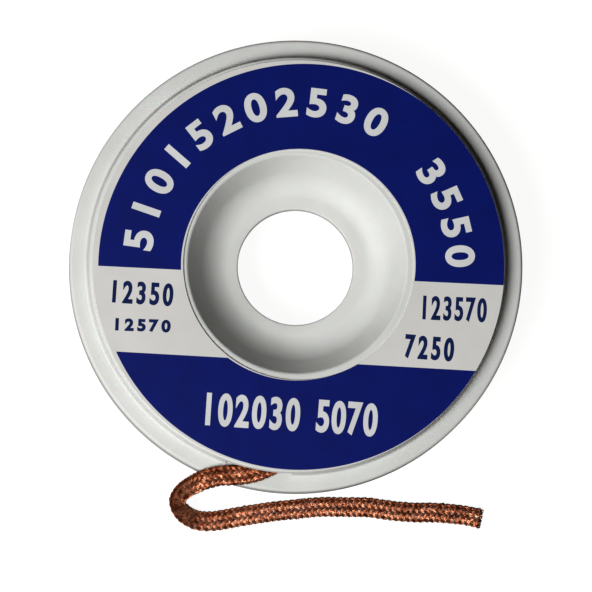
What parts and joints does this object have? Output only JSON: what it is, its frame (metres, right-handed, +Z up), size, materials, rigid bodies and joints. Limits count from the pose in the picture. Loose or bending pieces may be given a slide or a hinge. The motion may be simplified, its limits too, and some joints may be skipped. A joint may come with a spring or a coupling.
{
  "type": "desoldering braid bobbin",
  "caption": "Flat round plastic bobbin case with dished faces and a ring label, holding wound copper desoldering braid whose free end leaves a slot by the rim and lies beside it.",
  "frame": {"origin": "centre of the case on the plane it lies on", "axes": "+Z up out of the labelled face along the bore, +X to the right and -Y to the bottom edge of the label as it reads, where the braid leaves"},
  "size_m": [0.054, 0.0584, 0.0112],
  "materials": {
    "case_plastic": "warm white moulded plastic with a soft satin surface",
    "label_print": "glossy coated sticker, deep blue print on white",
    "copper_braid": "bare fine copper wires, woven, with a light coat of flux"
  },
  "bodies": {
    "root": {"case_front": "case_plastic", "case_back": "case_plastic", "label": "label_print", "wound_braid": "copper_braid", "braid_tail": "copper_braid"}
  },
  "joints": []
}
